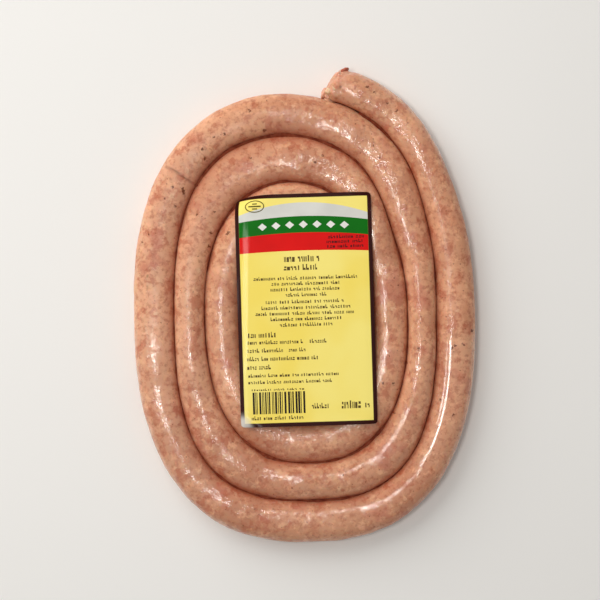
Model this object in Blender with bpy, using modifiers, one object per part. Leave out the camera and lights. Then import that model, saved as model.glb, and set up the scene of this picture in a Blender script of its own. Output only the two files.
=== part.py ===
"""A long raw sausage in a natural casing, wound up into a flat oval coil, with its label laid on top.

The coil lies flat in the XY plane and stands on z = 0. Its long axis runs along Y, and the sausage's
outer end is at +Y. The outline of each turn is an oval, and one turn steps down to the next in a jog
at the upper right. Each turn fills the room between its own oval and the next one's.
"""

import math

import bmesh
import bpy
import numpy as np
from mathutils import Matrix, Vector

MM = 0.001

# The ovals' common centre. It lies off the origin, so that the whole part is centred on the origin.
COIL_CENTRE = (0.85 * MM, -6.83 * MM)

# Outer outline of each turn, from the outside in: half-sizes to the right, left, top and bottom of
# the centre, the squareness, where 2 is an ellipse, and the degrees it is turned anticlockwise. The
# first outline holds only the outer end. The last two are out of sight below the label.
OUTLINES = (
    (107.2 * MM, 107.2 * MM, 134.6 * MM, 134.6 * MM, 2.4, 0.0),
    (87.8 * MM, 89.5 * MM, 117.6 * MM, 116.4 * MM, 2.44, 1.4),
    (67.2 * MM, 67.9 * MM, 95.6 * MM, 94.0 * MM, 2.79, 0.6),
    (52.7 * MM, 52.5 * MM, 71.0 * MM, 75.1 * MM, 2.37, 1.7),
    (34.0 * MM, 34.0 * MM, 53.0 * MM, 53.0 * MM, 2.3, 1.7),
    (17.0 * MM, 17.0 * MM, 35.4 * MM, 35.4 * MM, 2.2, 0.0),
)
START_ANGLE = 81.5
JOG_ANGLE = 69.7
JOG_HALF_SPAN = 31.5

# The sausage goes clockwise, seen from above. These are degrees turned since its outer end: the step
# from point to point, how far to each side the nearest point of the next turn is looked for, and
# where the tail begins to narrow, over how much, and leaves the ovals.
ROUTE_STEP = 1.0
NEIGHBOUR_REACH = 45.0
TAIL_NARROWS = 1288.0
TAIL_BLEND = 60.0
TAIL_TURNS_IN = 1468.0

# The tail leaves the ovals and runs down the middle of the coil: its width, its end from the ovals'
# centre, how far its curve reaches out at each end, and its curve's points.
TAIL_WIDTH = 16.6 * MM
TAIL_END = (0.0, -24.0 * MM)
TAIL_REACH = (14.0 * MM, 24.0 * MM)
TAIL_POINTS = 40

# Cross-section. A stretch that its neighbours squeeze stands higher, and all of it sags flat below.
# The height waves make it uneven: the length, swing and phase of each.
TURN_GAP = 0.5 * MM
USUAL_WIDTH = 19.3 * MM
USUAL_HEIGHT = 18.1 * MM
SQUEEZE_POWER = 0.4
TALLEST = 19.3 * MM
SAG_FLAT = 0.8 * MM
SECTION_SQUARENESS = 2.3
HEIGHT_WAVES = ((47.0 * MM, 0.30 * MM, 0.4), (83.0 * MM, 0.35 * MM, 2.1), (29.0 * MM, 0.18 * MM, 4.0))
SIDES = 16
RING_SPACING = 6.4 * MM
TAIL_RING_SPACING = 4.6 * MM

# The cut ends: a blunt bulge of meat. The outer one is cut at a slant, which dies out further in.
END_BULGE = 3.6 * MM
END_ROUNDNESS = 2.6
END_RINGS = 5
END_SLANT = 0.25
SLANT_REACH = 14.0 * MM

# Scraps of meat, fat and casing on the outer end: how far out of the end, across it towards the
# outside of the coil, and up, then the scrap's size in the same directions.
END_SCRAPS = (
    (2.6 * MM, -5.6 * MM, 8.6 * MM, 5.2 * MM, 4.6 * MM, 7.0 * MM),
    (2.2 * MM, -3.4 * MM, 13.0 * MM, 5.4 * MM, 5.0 * MM, 5.6 * MM),
    (2.4 * MM, 1.6 * MM, 11.4 * MM, 5.2 * MM, 6.0 * MM, 6.4 * MM),
    (2.0 * MM, -1.0 * MM, 5.6 * MM, 5.0 * MM, 5.6 * MM, 5.4 * MM),
    (1.6 * MM, 4.6 * MM, 6.6 * MM, 5.4 * MM, 5.0 * MM, 6.2 * MM),
    (0.4 * MM, 5.4 * MM, 14.2 * MM, 5.6 * MM, 5.2 * MM, 4.4 * MM),
    (0.8 * MM, 8.0 * MM, 10.6 * MM, 3.6 * MM, 3.2 * MM, 6.0 * MM),
)
SCRAP_SEGMENTS = 10
SCRAP_RINGS = 6

# The label: a laminated card. It lies on the tops of the inner turns, turned a little anticlockwise,
# and is bent down at its corners and a little along its long edges.
LABEL_WIDTH = 70.0 * MM
LABEL_LENGTH = 119.0 * MM
LABEL_THICKNESS = 0.3 * MM
LABEL_CENTRE = (-0.1 * MM, 4.4 * MM)
LABEL_TURN = 1.75
LABEL_UNDERSIDE = 19.7 * MM
LABEL_CELLS = (14, 24)

# Each bend of the label: the direction it faces in degrees, how far from the ovals' centre it begins,
# and its radius.
LABEL_BENDS = (
    (122.0, 61.6 * MM, 8.8 * MM),
    (63.0, 66.4 * MM, 13.0 * MM),
    (239.0, 59.0 * MM, 14.0 * MM),
    (304.0, 60.0 * MM, 18.0 * MM),
    (180.0, 29.0 * MM, 34.0 * MM),
    (0.0, 29.0 * MM, 80.0 * MM),
)

# Colour (red, green, blue), roughness and coat of each material.
CASING_LOOK = ((0.58, 0.29, 0.19), 0.38, 0.6)
LABEL_LOOK = ((0.87, 0.74, 0.22), 0.3, 0.3)


def smooth_step(share):
    """0 below 0 and 1 above 1, with an even change between."""
    share = np.clip(share, 0.0, 1.0)
    return share * share * (3.0 - 2.0 * share)


def oval_radius(angle, outline):
    """How far an outline lies from the centre, at an angle in radians."""
    right, left, top, bottom, squareness, tilt = np.moveaxis(np.asarray(outline), -1, 0)
    angle = angle - np.radians(tilt)
    across = np.where(np.cos(angle) >= 0, right, left)
    along = np.where(np.sin(angle) >= 0, top, bottom)
    parts = np.abs(np.cos(angle) / across) ** squareness + np.abs(np.sin(angle) / along) ** squareness
    return parts ** (-1.0 / squareness)


def outer_edge(turned):
    """Points on the outer edge of the sausage, as an array of x and y, for an array of degrees turned."""
    degrees = START_ANGLE - turned
    jog = np.floor((JOG_ANGLE + 180.0 - degrees) / 360.0).astype(int)
    before_jog = JOG_ANGLE + JOG_HALF_SPAN - (degrees + 360.0 * jog)
    stepped = smooth_step(before_jog / (2.0 * JOG_HALF_SPAN))
    outlines = np.array(OUTLINES)
    last = len(outlines) - 1
    angle = np.radians(degrees)
    outside = oval_radius(angle, outlines[np.clip(jog, 0, last)])
    inside = oval_radius(angle, outlines[np.clip(jog + 1, 0, last)])
    radius = outside + (inside - outside) * stepped
    return np.stack((radius * np.cos(angle), radius * np.sin(angle)), axis=-1)


def room_inwards(turned, edge):
    """Distance from each point of the outer edge to the edge of the next turn inwards."""
    reach = np.arange(-NEIGHBOUR_REACH, NEIGHBOUR_REACH + 1.0)
    neighbours = outer_edge(turned[:, None] + 360.0 + reach[None, :])
    room = np.linalg.norm(neighbours - edge[:, None, :], axis=-1).min(axis=1)
    narrowed = smooth_step((turned - TAIL_NARROWS) / TAIL_BLEND)
    return room + (TAIL_WIDTH - room) * narrowed


def tail_curve(start, way):
    """The centreline from the last point on the ovals to the tail's end, as a cubic curve."""
    first, last = TAIL_REACH
    end = np.array(TAIL_END)
    corners = (start, start + way * first, end + np.array((0.0, last)), end)
    share = np.linspace(0.0, 1.0, TAIL_POINTS + 1)[1:, None]
    weights = ((1 - share) ** 3, 3 * share * (1 - share) ** 2, 3 * share**2 * (1 - share), share**3)
    return sum(weight * corner for weight, corner in zip(weights, corners))


def sausage_route():
    """The centreline: its points, and at each point the distance gone and the sausage's width."""
    turned = np.arange(0.0, TAIL_TURNS_IN + ROUTE_STEP, ROUTE_STEP)
    edge = outer_edge(turned)
    onwards = np.gradient(edge, axis=0)
    onwards /= np.linalg.norm(onwards, axis=1)[:, None]
    inwards = np.stack((onwards[:, 1], -onwards[:, 0]), axis=-1)
    width = room_inwards(turned, edge)
    centre = edge + inwards * width[:, None] / 2.0
    centre = np.concatenate((centre, tail_curve(centre[-1], onwards[-1])))
    width = np.concatenate((width, np.full(TAIL_POINTS, TAIL_WIDTH)))
    steps = np.linalg.norm(np.diff(centre, axis=0), axis=1)
    gone = np.concatenate(([0.0], np.cumsum(steps)))
    return centre, gone, width - TURN_GAP


def station_distances(gone):
    """Where the rings stand along the centreline: closer together in the tail, where it bends sharply."""
    tail_from = gone[int(TAIL_NARROWS / ROUTE_STEP)]
    coil = np.linspace(0.0, tail_from, int(tail_from / RING_SPACING) + 1)
    tail = np.linspace(tail_from, gone[-1], int((gone[-1] - tail_from) / TAIL_RING_SPACING) + 1)
    return np.concatenate((coil, tail[1:]))


def section_height(distance, width):
    """Height of the sausage where it is this wide."""
    height = USUAL_HEIGHT * (USUAL_WIDTH / width) ** SQUEEZE_POWER
    for wavelength, swing, phase in HEIGHT_WAVES:
        height += swing * math.sin(2.0 * math.pi * distance / wavelength + phase)
    return min(height, TALLEST)


def section_points(width, height, scale):
    """One cross-section, as (across, up) pairs. Its flat foot stays on z = 0 whatever the scale."""
    half_height = (height + SAG_FLAT) / 2.0
    middle = height - half_height
    points = []
    for side in range(SIDES):
        angle = 2.0 * math.pi * side / SIDES
        across = abs(math.cos(angle)) ** (2.0 / SECTION_SQUARENESS)
        up = abs(math.sin(angle)) ** (2.0 / SECTION_SQUARENESS)
        across = math.copysign(across, math.cos(angle)) * width / 2.0 * scale
        up = middle + math.copysign(up, math.sin(angle)) * half_height * scale
        points.append((across, max(up, 0.0)))
    return points


def end_scales():
    """Distance out of an end and size of each ring of its bulge, from the full section outwards."""
    rings = []
    for ring in range(1, END_RINGS + 1):
        share = math.sin(math.pi / 2.0 * ring / (END_RINGS + 0.5))
        scale = (1.0 - share**END_ROUNDNESS) ** (1.0 / END_ROUNDNESS)
        rings.append((END_BULGE * share, scale))
    return rings


def sausage_stations():
    """Each ring's place, direction, distance gone, width and scale, from the outer end to the inner."""
    centre, gone, width = sausage_route()
    distances = station_distances(gone)
    xs = np.interp(distances, gone, centre[:, 0])
    ys = np.interp(distances, gone, centre[:, 1])
    widths = np.interp(distances, gone, width)
    points = np.stack((xs, ys), axis=-1)
    ways = np.gradient(points, axis=0)
    ways /= np.linalg.norm(ways, axis=1)[:, None]
    stations = [
        (Vector(point), Vector(way), distance, wide, 1.0)
        for point, way, distance, wide in zip(points, ways, distances, widths)
    ]
    first = stations[0]
    last = stations[-1]
    outer_bulge = [
        (first[0] - first[1] * out, first[1], 0.0, first[3], scale) for out, scale in end_scales()
    ]
    inner_bulge = [
        (last[0] + last[1] * out, last[1], last[2], last[3], scale) for out, scale in end_scales()
    ]
    return outer_bulge[::-1] + stations + inner_bulge


def ring_points(station):
    """A ring of the sausage in space. Near the outer end the rings lean, so that it is cut at a slant."""
    point, way, distance, width, scale = station
    outwards = Vector((-way.y, way.x))
    height = section_height(distance, width)
    slant = END_SLANT * (1.0 - float(smooth_step(distance / SLANT_REACH)))
    ring = []
    for across, up in section_points(width, height, scale):
        place = point + outwards * across + way * (across * slant)
        ring.append(Vector((place.x, place.y, up)))
    return ring


def swept_mesh(name, rings):
    """A closed tube through the rings: a circle's edges are drawn out from one ring to the next."""
    mesh = bmesh.new()
    place = mesh.verts.layers.int.new("place")
    bmesh.ops.create_circle(mesh, cap_ends=False, segments=SIDES, radius=MM)
    for index, corner in enumerate(mesh.verts):
        corner[place] = index
        corner.co = rings[0][index]
    hoop = mesh.edges[:]
    for ring in rings[1:]:
        drawn = bmesh.ops.extrude_edge_only(mesh, edges=hoop)["geom"]
        hoop = [item for item in drawn if isinstance(item, bmesh.types.BMEdge)]
        for corner in drawn:
            if isinstance(corner, bmesh.types.BMVert):
                corner.co = ring[corner[place]]
    bmesh.ops.holes_fill(mesh, edges=mesh.edges[:], sides=SIDES)
    bmesh.ops.recalc_face_normals(mesh, faces=mesh.faces[:])
    data = bpy.data.meshes.new(name)
    mesh.to_mesh(data)
    mesh.free()
    return data


def end_scrap(name, station, scrap):
    """One scrap of meat on the outer end, as its own object, to be fused on."""
    point, way, distance, width, scale = station
    out, across, up, length, breadth, height = scrap
    outwards = Vector((-way.y, way.x))
    place = point - way * (out - across * END_SLANT) + outwards * across
    turn = Matrix.Rotation(math.atan2(way.y, way.x), 4, "Z")
    size = Matrix.Diagonal((length, breadth, height, 1.0))
    mesh = bmesh.new()
    bmesh.ops.create_uvsphere(mesh, u_segments=SCRAP_SEGMENTS, v_segments=SCRAP_RINGS, radius=0.5)
    bmesh.ops.transform(mesh, matrix=turn @ size, verts=mesh.verts[:])
    bmesh.ops.translate(mesh, vec=(place.x, place.y, up), verts=mesh.verts[:])
    data = bpy.data.meshes.new(name)
    mesh.to_mesh(data)
    mesh.free()
    return bpy.data.objects.new(name, data)


def fuse(target, pieces, collection_name):
    """Joins the pieces to the target with one Boolean union, and removes them."""
    collection = bpy.data.collections.new(collection_name)
    bpy.context.scene.collection.children.link(collection)
    for piece in pieces:
        collection.objects.link(piece)
    union = target.modifiers.new("fused scraps", "BOOLEAN")
    union.operation = "UNION"
    union.operand_type = "COLLECTION"
    union.collection = collection
    union.solver = "EXACT"
    bpy.context.view_layer.update()
    graph = bpy.context.evaluated_depsgraph_get()
    joined = bpy.data.meshes.new_from_object(target.evaluated_get(graph))
    target.modifiers.clear()
    target.data = joined
    for piece in pieces:
        bpy.data.objects.remove(piece)
    bpy.data.collections.remove(collection)


def material(name, look):
    """A Principled material with the look's colour, roughness and coat."""
    colour, roughness, coat = look
    made = bpy.data.materials.new(name)
    made.use_nodes = True
    shader = made.node_tree.nodes["Principled BSDF"]
    shader.inputs["Base Color"].default_value = (*colour, 1.0)
    shader.inputs["Roughness"].default_value = roughness
    shader.inputs["Metallic"].default_value = 0.0
    shader.inputs["Coat Weight"].default_value = coat
    made.diffuse_color = (*colour, 1.0)
    return made


def make_sausage(collection):
    """The whole sausage: one solid from its slanted outer end to the tail in the middle of the coil."""
    stations = sausage_stations()
    rings = [ring_points(station) for station in stations]
    data = swept_mesh("sausage", rings)
    sausage = bpy.data.objects.new("sausage", data)
    collection.objects.link(sausage)
    first_full = stations[END_RINGS]
    scraps = [
        end_scrap(f"scrap_{number}", first_full, scrap) for number, scrap in enumerate(END_SCRAPS)
    ]
    fuse(sausage, scraps, "scraps")
    sausage.data.materials.clear()
    sausage.data.materials.append(material("raw sausage in casing", CASING_LOOK))
    sausage.data.shade_smooth()
    sausage.location = (*COIL_CENTRE, 0.0)
    return sausage


def label_place(x, y):
    """A point of the flat label, bent and laid on the coil. It is on the label's underside."""
    turn = math.radians(LABEL_TURN)
    place = Vector((x * math.cos(turn) - y * math.sin(turn), x * math.sin(turn) + y * math.cos(turn)))
    place += Vector(LABEL_CENTRE)
    drop = 0.0
    for facing, begins, radius in LABEL_BENDS:
        direction = Vector((math.cos(math.radians(facing)), math.sin(math.radians(facing))))
        beyond = place.dot(direction) - begins
        if beyond > 0.0:
            place += direction * (radius * math.sin(beyond / radius) - beyond)
            drop += radius * (1.0 - math.cos(beyond / radius))
    return Vector((place.x, place.y, LABEL_UNDERSIDE - drop))


def make_label(collection):
    """The label: a grid of the card's flat size, bent to its place and then given its thickness."""
    columns, rows = LABEL_CELLS
    mesh = bmesh.new()
    bmesh.ops.create_grid(mesh, x_segments=columns, y_segments=rows, size=0.5)
    for corner in mesh.verts:
        corner.co = label_place(corner.co.x * LABEL_WIDTH, corner.co.y * LABEL_LENGTH)
    bmesh.ops.triangulate(mesh, faces=mesh.faces[:])
    data = bpy.data.meshes.new("label")
    mesh.to_mesh(data)
    mesh.free()
    label = bpy.data.objects.new("label", data)
    collection.objects.link(label)
    card = label.modifiers.new("card thickness", "SOLIDIFY")
    card.thickness = LABEL_THICKNESS
    card.offset = 1.0
    label.data.materials.append(material("laminated label", LABEL_LOOK))
    label.location = (*COIL_CENTRE, 0.0)
    return label


def clear_scene():
    """Removes whatever the scene holds."""
    for thing in list(bpy.data.objects):
        bpy.data.objects.remove(thing)


def main():
    """Builds the coil and its label in a collection of their own."""
    clear_scene()
    collection = bpy.data.collections.new("coiled_sausage")
    bpy.context.scene.collection.children.link(collection)
    make_sausage(collection)
    make_label(collection)


main()
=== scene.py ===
"""The look of the coiled sausage and its label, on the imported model's frame."""

import math

import bmesh
import bpy
import numpy as np
from mathutils import Matrix, Vector, noise


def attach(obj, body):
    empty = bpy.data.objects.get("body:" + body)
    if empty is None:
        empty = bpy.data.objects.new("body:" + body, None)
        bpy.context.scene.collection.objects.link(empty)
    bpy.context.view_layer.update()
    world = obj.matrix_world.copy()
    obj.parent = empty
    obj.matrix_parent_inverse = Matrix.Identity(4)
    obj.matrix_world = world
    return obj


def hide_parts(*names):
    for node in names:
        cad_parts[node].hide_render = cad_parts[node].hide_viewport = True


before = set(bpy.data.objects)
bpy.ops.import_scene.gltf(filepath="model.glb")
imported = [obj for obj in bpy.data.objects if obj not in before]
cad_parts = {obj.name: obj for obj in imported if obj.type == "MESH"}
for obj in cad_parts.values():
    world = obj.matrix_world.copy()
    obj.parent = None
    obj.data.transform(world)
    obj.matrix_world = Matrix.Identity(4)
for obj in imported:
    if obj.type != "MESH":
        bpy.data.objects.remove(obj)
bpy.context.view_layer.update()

MM = 0.001

# The sausage's route, as in the part's source: the coil's centre and its outlines from the outside in,
# each with its reach to the right, left, top and bottom, its squareness and its tilt. It starts at
# one angle, steps inwards by one outline round another, and its tail leaves the last outline and
# curves down to its end. Angles are in degrees.
COIL_CENTRE = (0.85 * MM, -6.83 * MM)
OUTLINES = (
    (107.2 * MM, 107.2 * MM, 134.6 * MM, 134.6 * MM, 2.4, 0.0),
    (87.8 * MM, 89.5 * MM, 117.6 * MM, 116.4 * MM, 2.44, 1.4),
    (67.2 * MM, 67.9 * MM, 95.6 * MM, 94.0 * MM, 2.79, 0.6),
    (52.7 * MM, 52.5 * MM, 71.0 * MM, 75.1 * MM, 2.37, 1.7),
    (34.0 * MM, 34.0 * MM, 53.0 * MM, 53.0 * MM, 2.3, 1.7),
    (17.0 * MM, 17.0 * MM, 35.4 * MM, 35.4 * MM, 2.2, 0.0),
)
START_ANGLE = 81.5
JOG_ANGLE = 69.7
JOG_HALF_SPAN = 31.5
ROUTE_STEP = 1.0
NEIGHBOUR_REACH = 45.0
TAIL_NARROWS = 1288.0
TAIL_BLEND = 60.0
TAIL_TURNS_IN = 1468.0
TAIL_WIDTH = 16.6 * MM
TAIL_END = (0.0, -24.0 * MM)
TAIL_REACH = (14.0 * MM, 24.0 * MM)
TAIL_POINTS = 40

# The sausage's cross-section. The turns press each other flat, with only a hair's gap left between.
# The outermost turn, up to where the outer side is pressed too, has a neighbour inside it alone. A
# wide stretch is lower than a narrow one. Each wave in the height has its length, swing and phase.
SKIN_GAP = 0.08 * MM
PRESSED = 0.6 * MM
PRESSED_FROM = 620.0 * MM
PRESSED_BLEND = 90.0 * MM
USUAL_WIDTH = 19.3 * MM
USUAL_HEIGHT = 18.1 * MM
SQUEEZE_POWER = 0.4
TALLEST = 19.3 * MM
SAG_FLAT = 0.8 * MM
SECTION_SQUARENESS = 2.3
HEIGHT_WAVES = ((47.0 * MM, 0.30 * MM, 0.4), (83.0 * MM, 0.35 * MM, 2.1), (29.0 * MM, 0.18 * MM, 4.0))

# Both ends bulge. The outer one also tapers, spreads inwards and slants.
END_BULGE = 5.0 * MM
END_ROUNDNESS = 2.3
END_TAPER = 0.12
TAPER_REACH = 8.0 * MM
NUB_SPREAD = 1.0 * MM
END_SLANT = 0.25
SLANT_REACH = 14.0 * MM

# The skin's mesh: ring spacing where it shows and where the label hides it, points round it, and how
# close points are merged.
SHOWN_LENGTH = 1350.0 * MM
SHOWN_SPACING = 0.76 * MM
HIDDEN_SPACING = 3.5 * MM
POINTS_LOW = 6
POINTS_TOP = 34
END_RINGS = 12
WELDED = 0.002 * MM

# The skin's relief: the size of each kind of lump, its height, and where its noise is read. It fades
# out at the foot, and nothing stands up into the label.
LUMPS = (
    (13.0 * MM, 0.34 * MM, (3.0, 0.0, 7.0)),
    (6.0 * MM, 0.17 * MM, (11.0, 5.0, 0.0)),
    (2.7 * MM, 0.085 * MM, (0.0, 9.0, 4.0)),
)
END_LUMPS = ((4.4 * MM, 1.5 * MM, (1.0, 8.0, 2.0)), (1.9 * MM, 0.7 * MM, (6.0, 1.0, 5.0)))
END_LUMPS_REACH = 6.0 * MM
FOOT_FADE = 4.0 * MM
LABEL_MARGIN = 3.0 * MM

# A stretch of the outer turn, at the lower right, is smooth and level, so it mirrors the lamp in one
# long streak: the distances along the sausage where it begins and ends, how fast it fades in, its
# level height, and the share of the relief that it lacks.
STREAK_FROM = 148.0 * MM
STREAK_TO = 224.0 * MM
STREAK_BLEND = 9.0 * MM
STREAK_HEIGHT = 17.8 * MM
STREAK_CALM = 0.96

# Creases in the casing: how deep each one is as a share, and its points in millimetres from the
# origin, seen from above. They show above a share of the sausage's height.
CREASES = (
    (1.0, ((-71.8, 71.2), (-68.6, 70.0), (-65.8, 68.4), (-60.3, 64.4), (-55.6, 61.7))),
    (0.4, ((-64.0, 52.5), (-61.4, 48.0), (-60.2, 43.0))),
    (0.3, ((-62.8, 72.9), (-60.6, 69.4), (-57.7, 65.2))),
    (0.3, ((-59.8, 74.4), (-58.2, 71.4), (-55.7, 68.2))),
    (0.25, ((-56.7, 75.4), (-53.1, 70.3))),
)
CREASE_DEPTH = 0.9 * MM
CREASE_HALF_WIDTH = 1.05 * MM
CREASED_ABOVE = 0.4

# The label: its flat size, where it lies, the bends that the part's source gives it, each with the
# way it faces, where it begins and its radius, its rounded corners, and the size of its mesh's cells.
LABEL_WIDTH = 70.0 * MM
LABEL_LENGTH = 119.0 * MM
LABEL_THICKNESS = 0.3 * MM
LABEL_CENTRE = (-0.1 * MM, 4.4 * MM)
LABEL_TURN = 1.75
LABEL_UNDERSIDE = 19.7 * MM
LABEL_BENDS = (
    (122.0, 61.6 * MM, 8.8 * MM),
    (63.0, 66.4 * MM, 13.0 * MM),
    (239.0, 59.0 * MM, 14.0 * MM),
    (304.0, 60.0 * MM, 18.0 * MM),
    (180.0, 29.0 * MM, 34.0 * MM),
    (0.0, 29.0 * MM, 80.0 * MM),
)
LABEL_CORNER = 1.6 * MM
CELL = 1.0 * MM

# On every piece an edge is sharp from this angle between its faces.
SHARP_FROM = 50.0

# The camera looks straight down. Its view is this wide at this height above the floor.
VIEW_CENTRE = (-2.27 * MM, 2.53 * MM)
VIEW_WIDTH = 312.0 * MM
VIEW_HEIGHT = 9.0 * MM
CAMERA_DISTANCE = 700.0 * MM
SENSOR = 36.0


def from_screen(red, green, blue):
    """A linear colour from one of 0 to 255, as a picture shows it."""
    shares = (red / 255.0, green / 255.0, blue / 255.0)
    linear = [s / 12.92 if s <= 0.04045 else ((s + 0.055) / 1.055) ** 2.4 for s in shares]
    return (*linear, 1.0)


# The sausage's route and section


def smooth_step(share):
    """0 below 0 and 1 above 1, with an even change between."""
    share = np.clip(share, 0.0, 1.0)
    return share * share * (3.0 - 2.0 * share)


def oval_radius(angle, outline):
    """How far an outline lies from the centre, at an angle in radians."""
    right, left, top, bottom, squareness, tilt = np.moveaxis(np.asarray(outline), -1, 0)
    angle = angle - np.radians(tilt)
    across = np.where(np.cos(angle) >= 0, right, left)
    along = np.where(np.sin(angle) >= 0, top, bottom)
    parts = np.abs(np.cos(angle) / across) ** squareness + np.abs(np.sin(angle) / along) ** squareness
    return parts ** (-1.0 / squareness)


def outer_edge(turned):
    """Points on the outer edge of the sausage, for an array of degrees turned since its outer end."""
    degrees = START_ANGLE - turned
    jog = np.floor((JOG_ANGLE + 180.0 - degrees) / 360.0).astype(int)
    before_jog = JOG_ANGLE + JOG_HALF_SPAN - (degrees + 360.0 * jog)
    stepped = smooth_step(before_jog / (2.0 * JOG_HALF_SPAN))
    outlines = np.array(OUTLINES)
    last = len(outlines) - 1
    angle = np.radians(degrees)
    outside = oval_radius(angle, outlines[np.clip(jog, 0, last)])
    inside = oval_radius(angle, outlines[np.clip(jog + 1, 0, last)])
    radius = outside + (inside - outside) * stepped
    return np.stack((radius * np.cos(angle), radius * np.sin(angle)), axis=-1)


def room_inwards(turned, edge):
    """Distance from each point of the outer edge to the edge of the next turn inwards."""
    reach = np.arange(-NEIGHBOUR_REACH, NEIGHBOUR_REACH + 1.0)
    neighbours = outer_edge(turned[:, None] + 360.0 + reach[None, :])
    room = np.linalg.norm(neighbours - edge[:, None, :], axis=-1).min(axis=1)
    narrowed = smooth_step((turned - TAIL_NARROWS) / TAIL_BLEND)
    return room + (TAIL_WIDTH - room) * narrowed


def tail_curve(start, way):
    """The centreline from the last point on the ovals to the tail's end, as a cubic curve."""
    first, last = TAIL_REACH
    end = np.array(TAIL_END)
    corners = (start, start + way * first, end + np.array((0.0, last)), end)
    share = np.linspace(0.0, 1.0, TAIL_POINTS + 1)[1:, None]
    weights = ((1 - share) ** 3, 3 * share * (1 - share) ** 2, 3 * share**2 * (1 - share), share**3)
    return sum(weight * corner for weight, corner in zip(weights, corners))


def sausage_route():
    """The centreline: its points, and at each point the distance gone and the sausage's width."""
    turned = np.arange(0.0, TAIL_TURNS_IN + ROUTE_STEP, ROUTE_STEP)
    edge = outer_edge(turned)
    onwards = np.gradient(edge, axis=0)
    onwards /= np.linalg.norm(onwards, axis=1)[:, None]
    inwards = np.stack((onwards[:, 1], -onwards[:, 0]), axis=-1)
    width = room_inwards(turned, edge)
    centre = edge + inwards * width[:, None] / 2.0
    centre = np.concatenate((centre, tail_curve(centre[-1], onwards[-1])))
    width = np.concatenate((width, np.full(TAIL_POINTS, TAIL_WIDTH)))
    steps = np.linalg.norm(np.diff(centre, axis=0), axis=1)
    gone = np.concatenate(([0.0], np.cumsum(steps)))
    return centre, gone, width - SKIN_GAP


def section_height(distance, width):
    """Height of the sausage where it is this wide, for arrays."""
    height = USUAL_HEIGHT * (USUAL_WIDTH / width) ** SQUEEZE_POWER
    for wavelength, swing, phase in HEIGHT_WAVES:
        height = height + swing * np.sin(2.0 * np.pi * distance / wavelength + phase)
    return np.minimum(height, TALLEST)


def end_scales():
    """Distance out of an end and size of each ring of its bulge, from the full section to the pole."""
    share = np.sin(np.pi / 2.0 * np.arange(1, END_RINGS + 1) / END_RINGS)
    return END_BULGE * share, (1.0 - share**END_ROUNDNESS) ** (1.0 / END_ROUNDNESS)


def skin_rings():
    """Centre, direction, distance gone, width and scale of every ring of the skin's mesh."""
    centre, gone, width = sausage_route()
    shown = np.linspace(0.0, SHOWN_LENGTH, int(SHOWN_LENGTH / SHOWN_SPACING) + 1)
    rest = gone[-1] - SHOWN_LENGTH
    hidden = np.linspace(SHOWN_LENGTH, gone[-1], int(rest / HIDDEN_SPACING) + 1)
    distance = np.concatenate((shown, hidden[1:]))
    point = np.stack([np.interp(distance, gone, centre[:, axis]) for axis in (0, 1)], axis=-1)
    onwards = np.gradient(centre, gone, axis=0)
    way = np.stack([np.interp(distance, gone, onwards[:, axis]) for axis in (0, 1)], axis=-1)
    way /= np.linalg.norm(way, axis=1)[:, None]
    wide = np.interp(distance, gone, width)
    out, scale = end_scales()
    outer_end = point[:1] - way[:1] * out[::-1, None]
    inner_end = point[-1:] + way[-1:] * out[:, None]
    point = np.concatenate((outer_end, point, inner_end))
    full = np.ones(len(distance))
    distance = np.concatenate((-out[::-1], distance, distance[-1] + out))
    way = np.concatenate(([way[0]] * END_RINGS, way, [way[-1]] * END_RINGS))
    wide = np.concatenate((np.full(END_RINGS, wide[0]), wide, np.full(END_RINGS, wide[-1])))
    scale = np.concatenate((scale[::-1], full, scale))
    scale *= 1.0 - END_TAPER * np.clip(1.0 - distance / TAPER_REACH, 0.0, 1.0) ** 2
    return point, way, distance, wide, scale


def skin_angles():
    """The angles of a ring's points in radians, from its foot and round to it again."""
    rising = np.linspace(-90.0, 0.0, POINTS_LOW + 1)[:-1]
    top = np.linspace(0.0, 180.0, POINTS_TOP + 1)
    falling = 270.0 - np.linspace(90.0, 0.0, POINTS_LOW + 1)[1:]
    return np.radians(np.concatenate((rising, top, falling)))


def read_noise(places, size, offset):
    """Smooth noise of lumps of a size, read at each place."""
    shift = Vector(offset)
    values = [noise.noise(Vector(place) / size + shift) for place in places.reshape(-1, 3)]
    return np.array(values).reshape(places.shape[:-1])


def below_label(x, y, margin):
    """1 where a point lies under the label and 0 beyond a margin round it, for arrays."""
    turn = math.radians(-LABEL_TURN)
    x = x - LABEL_CENTRE[0]
    y = y - LABEL_CENTRE[1]
    across = np.abs(x * math.cos(turn) - y * math.sin(turn)) - LABEL_WIDTH / 2.0
    along = np.abs(x * math.sin(turn) + y * math.cos(turn)) - LABEL_LENGTH / 2.0
    return 1.0 - smooth_step(np.maximum(across, along) / margin)


def crease_nearness(x, y):
    """1 on a crease and 0 beyond its half width, for arrays of places round the coil's centre."""
    nearness = np.zeros_like(x)
    for share_of_depth, crease in CREASES:
        corners = np.array(crease) * MM - np.array(COIL_CENTRE)
        for start, end in zip(corners[:-1], corners[1:]):
            run = end - start
            share = ((x - start[0]) * run[0] + (y - start[1]) * run[1]) / (run @ run)
            share = np.clip(share, 0.0, 1.0)
            apart = np.hypot(x - start[0] - share * run[0], y - start[1] - share * run[1])
            nearness = np.maximum(nearness, share_of_depth * (1.0 - smooth_step(apart / CREASE_HALF_WIDTH)))
    return nearness


# What the skin's mesh carries for its look: its creases, where turns touch, the outer end, and the
# smooth stretch.
MASKS = ("crease", "touching", "outer end", "smooth stretch")


def signed_power(value, power):
    """A value raised to a power, with its sign kept."""
    return np.sign(value) * np.abs(value) ** power


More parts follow.
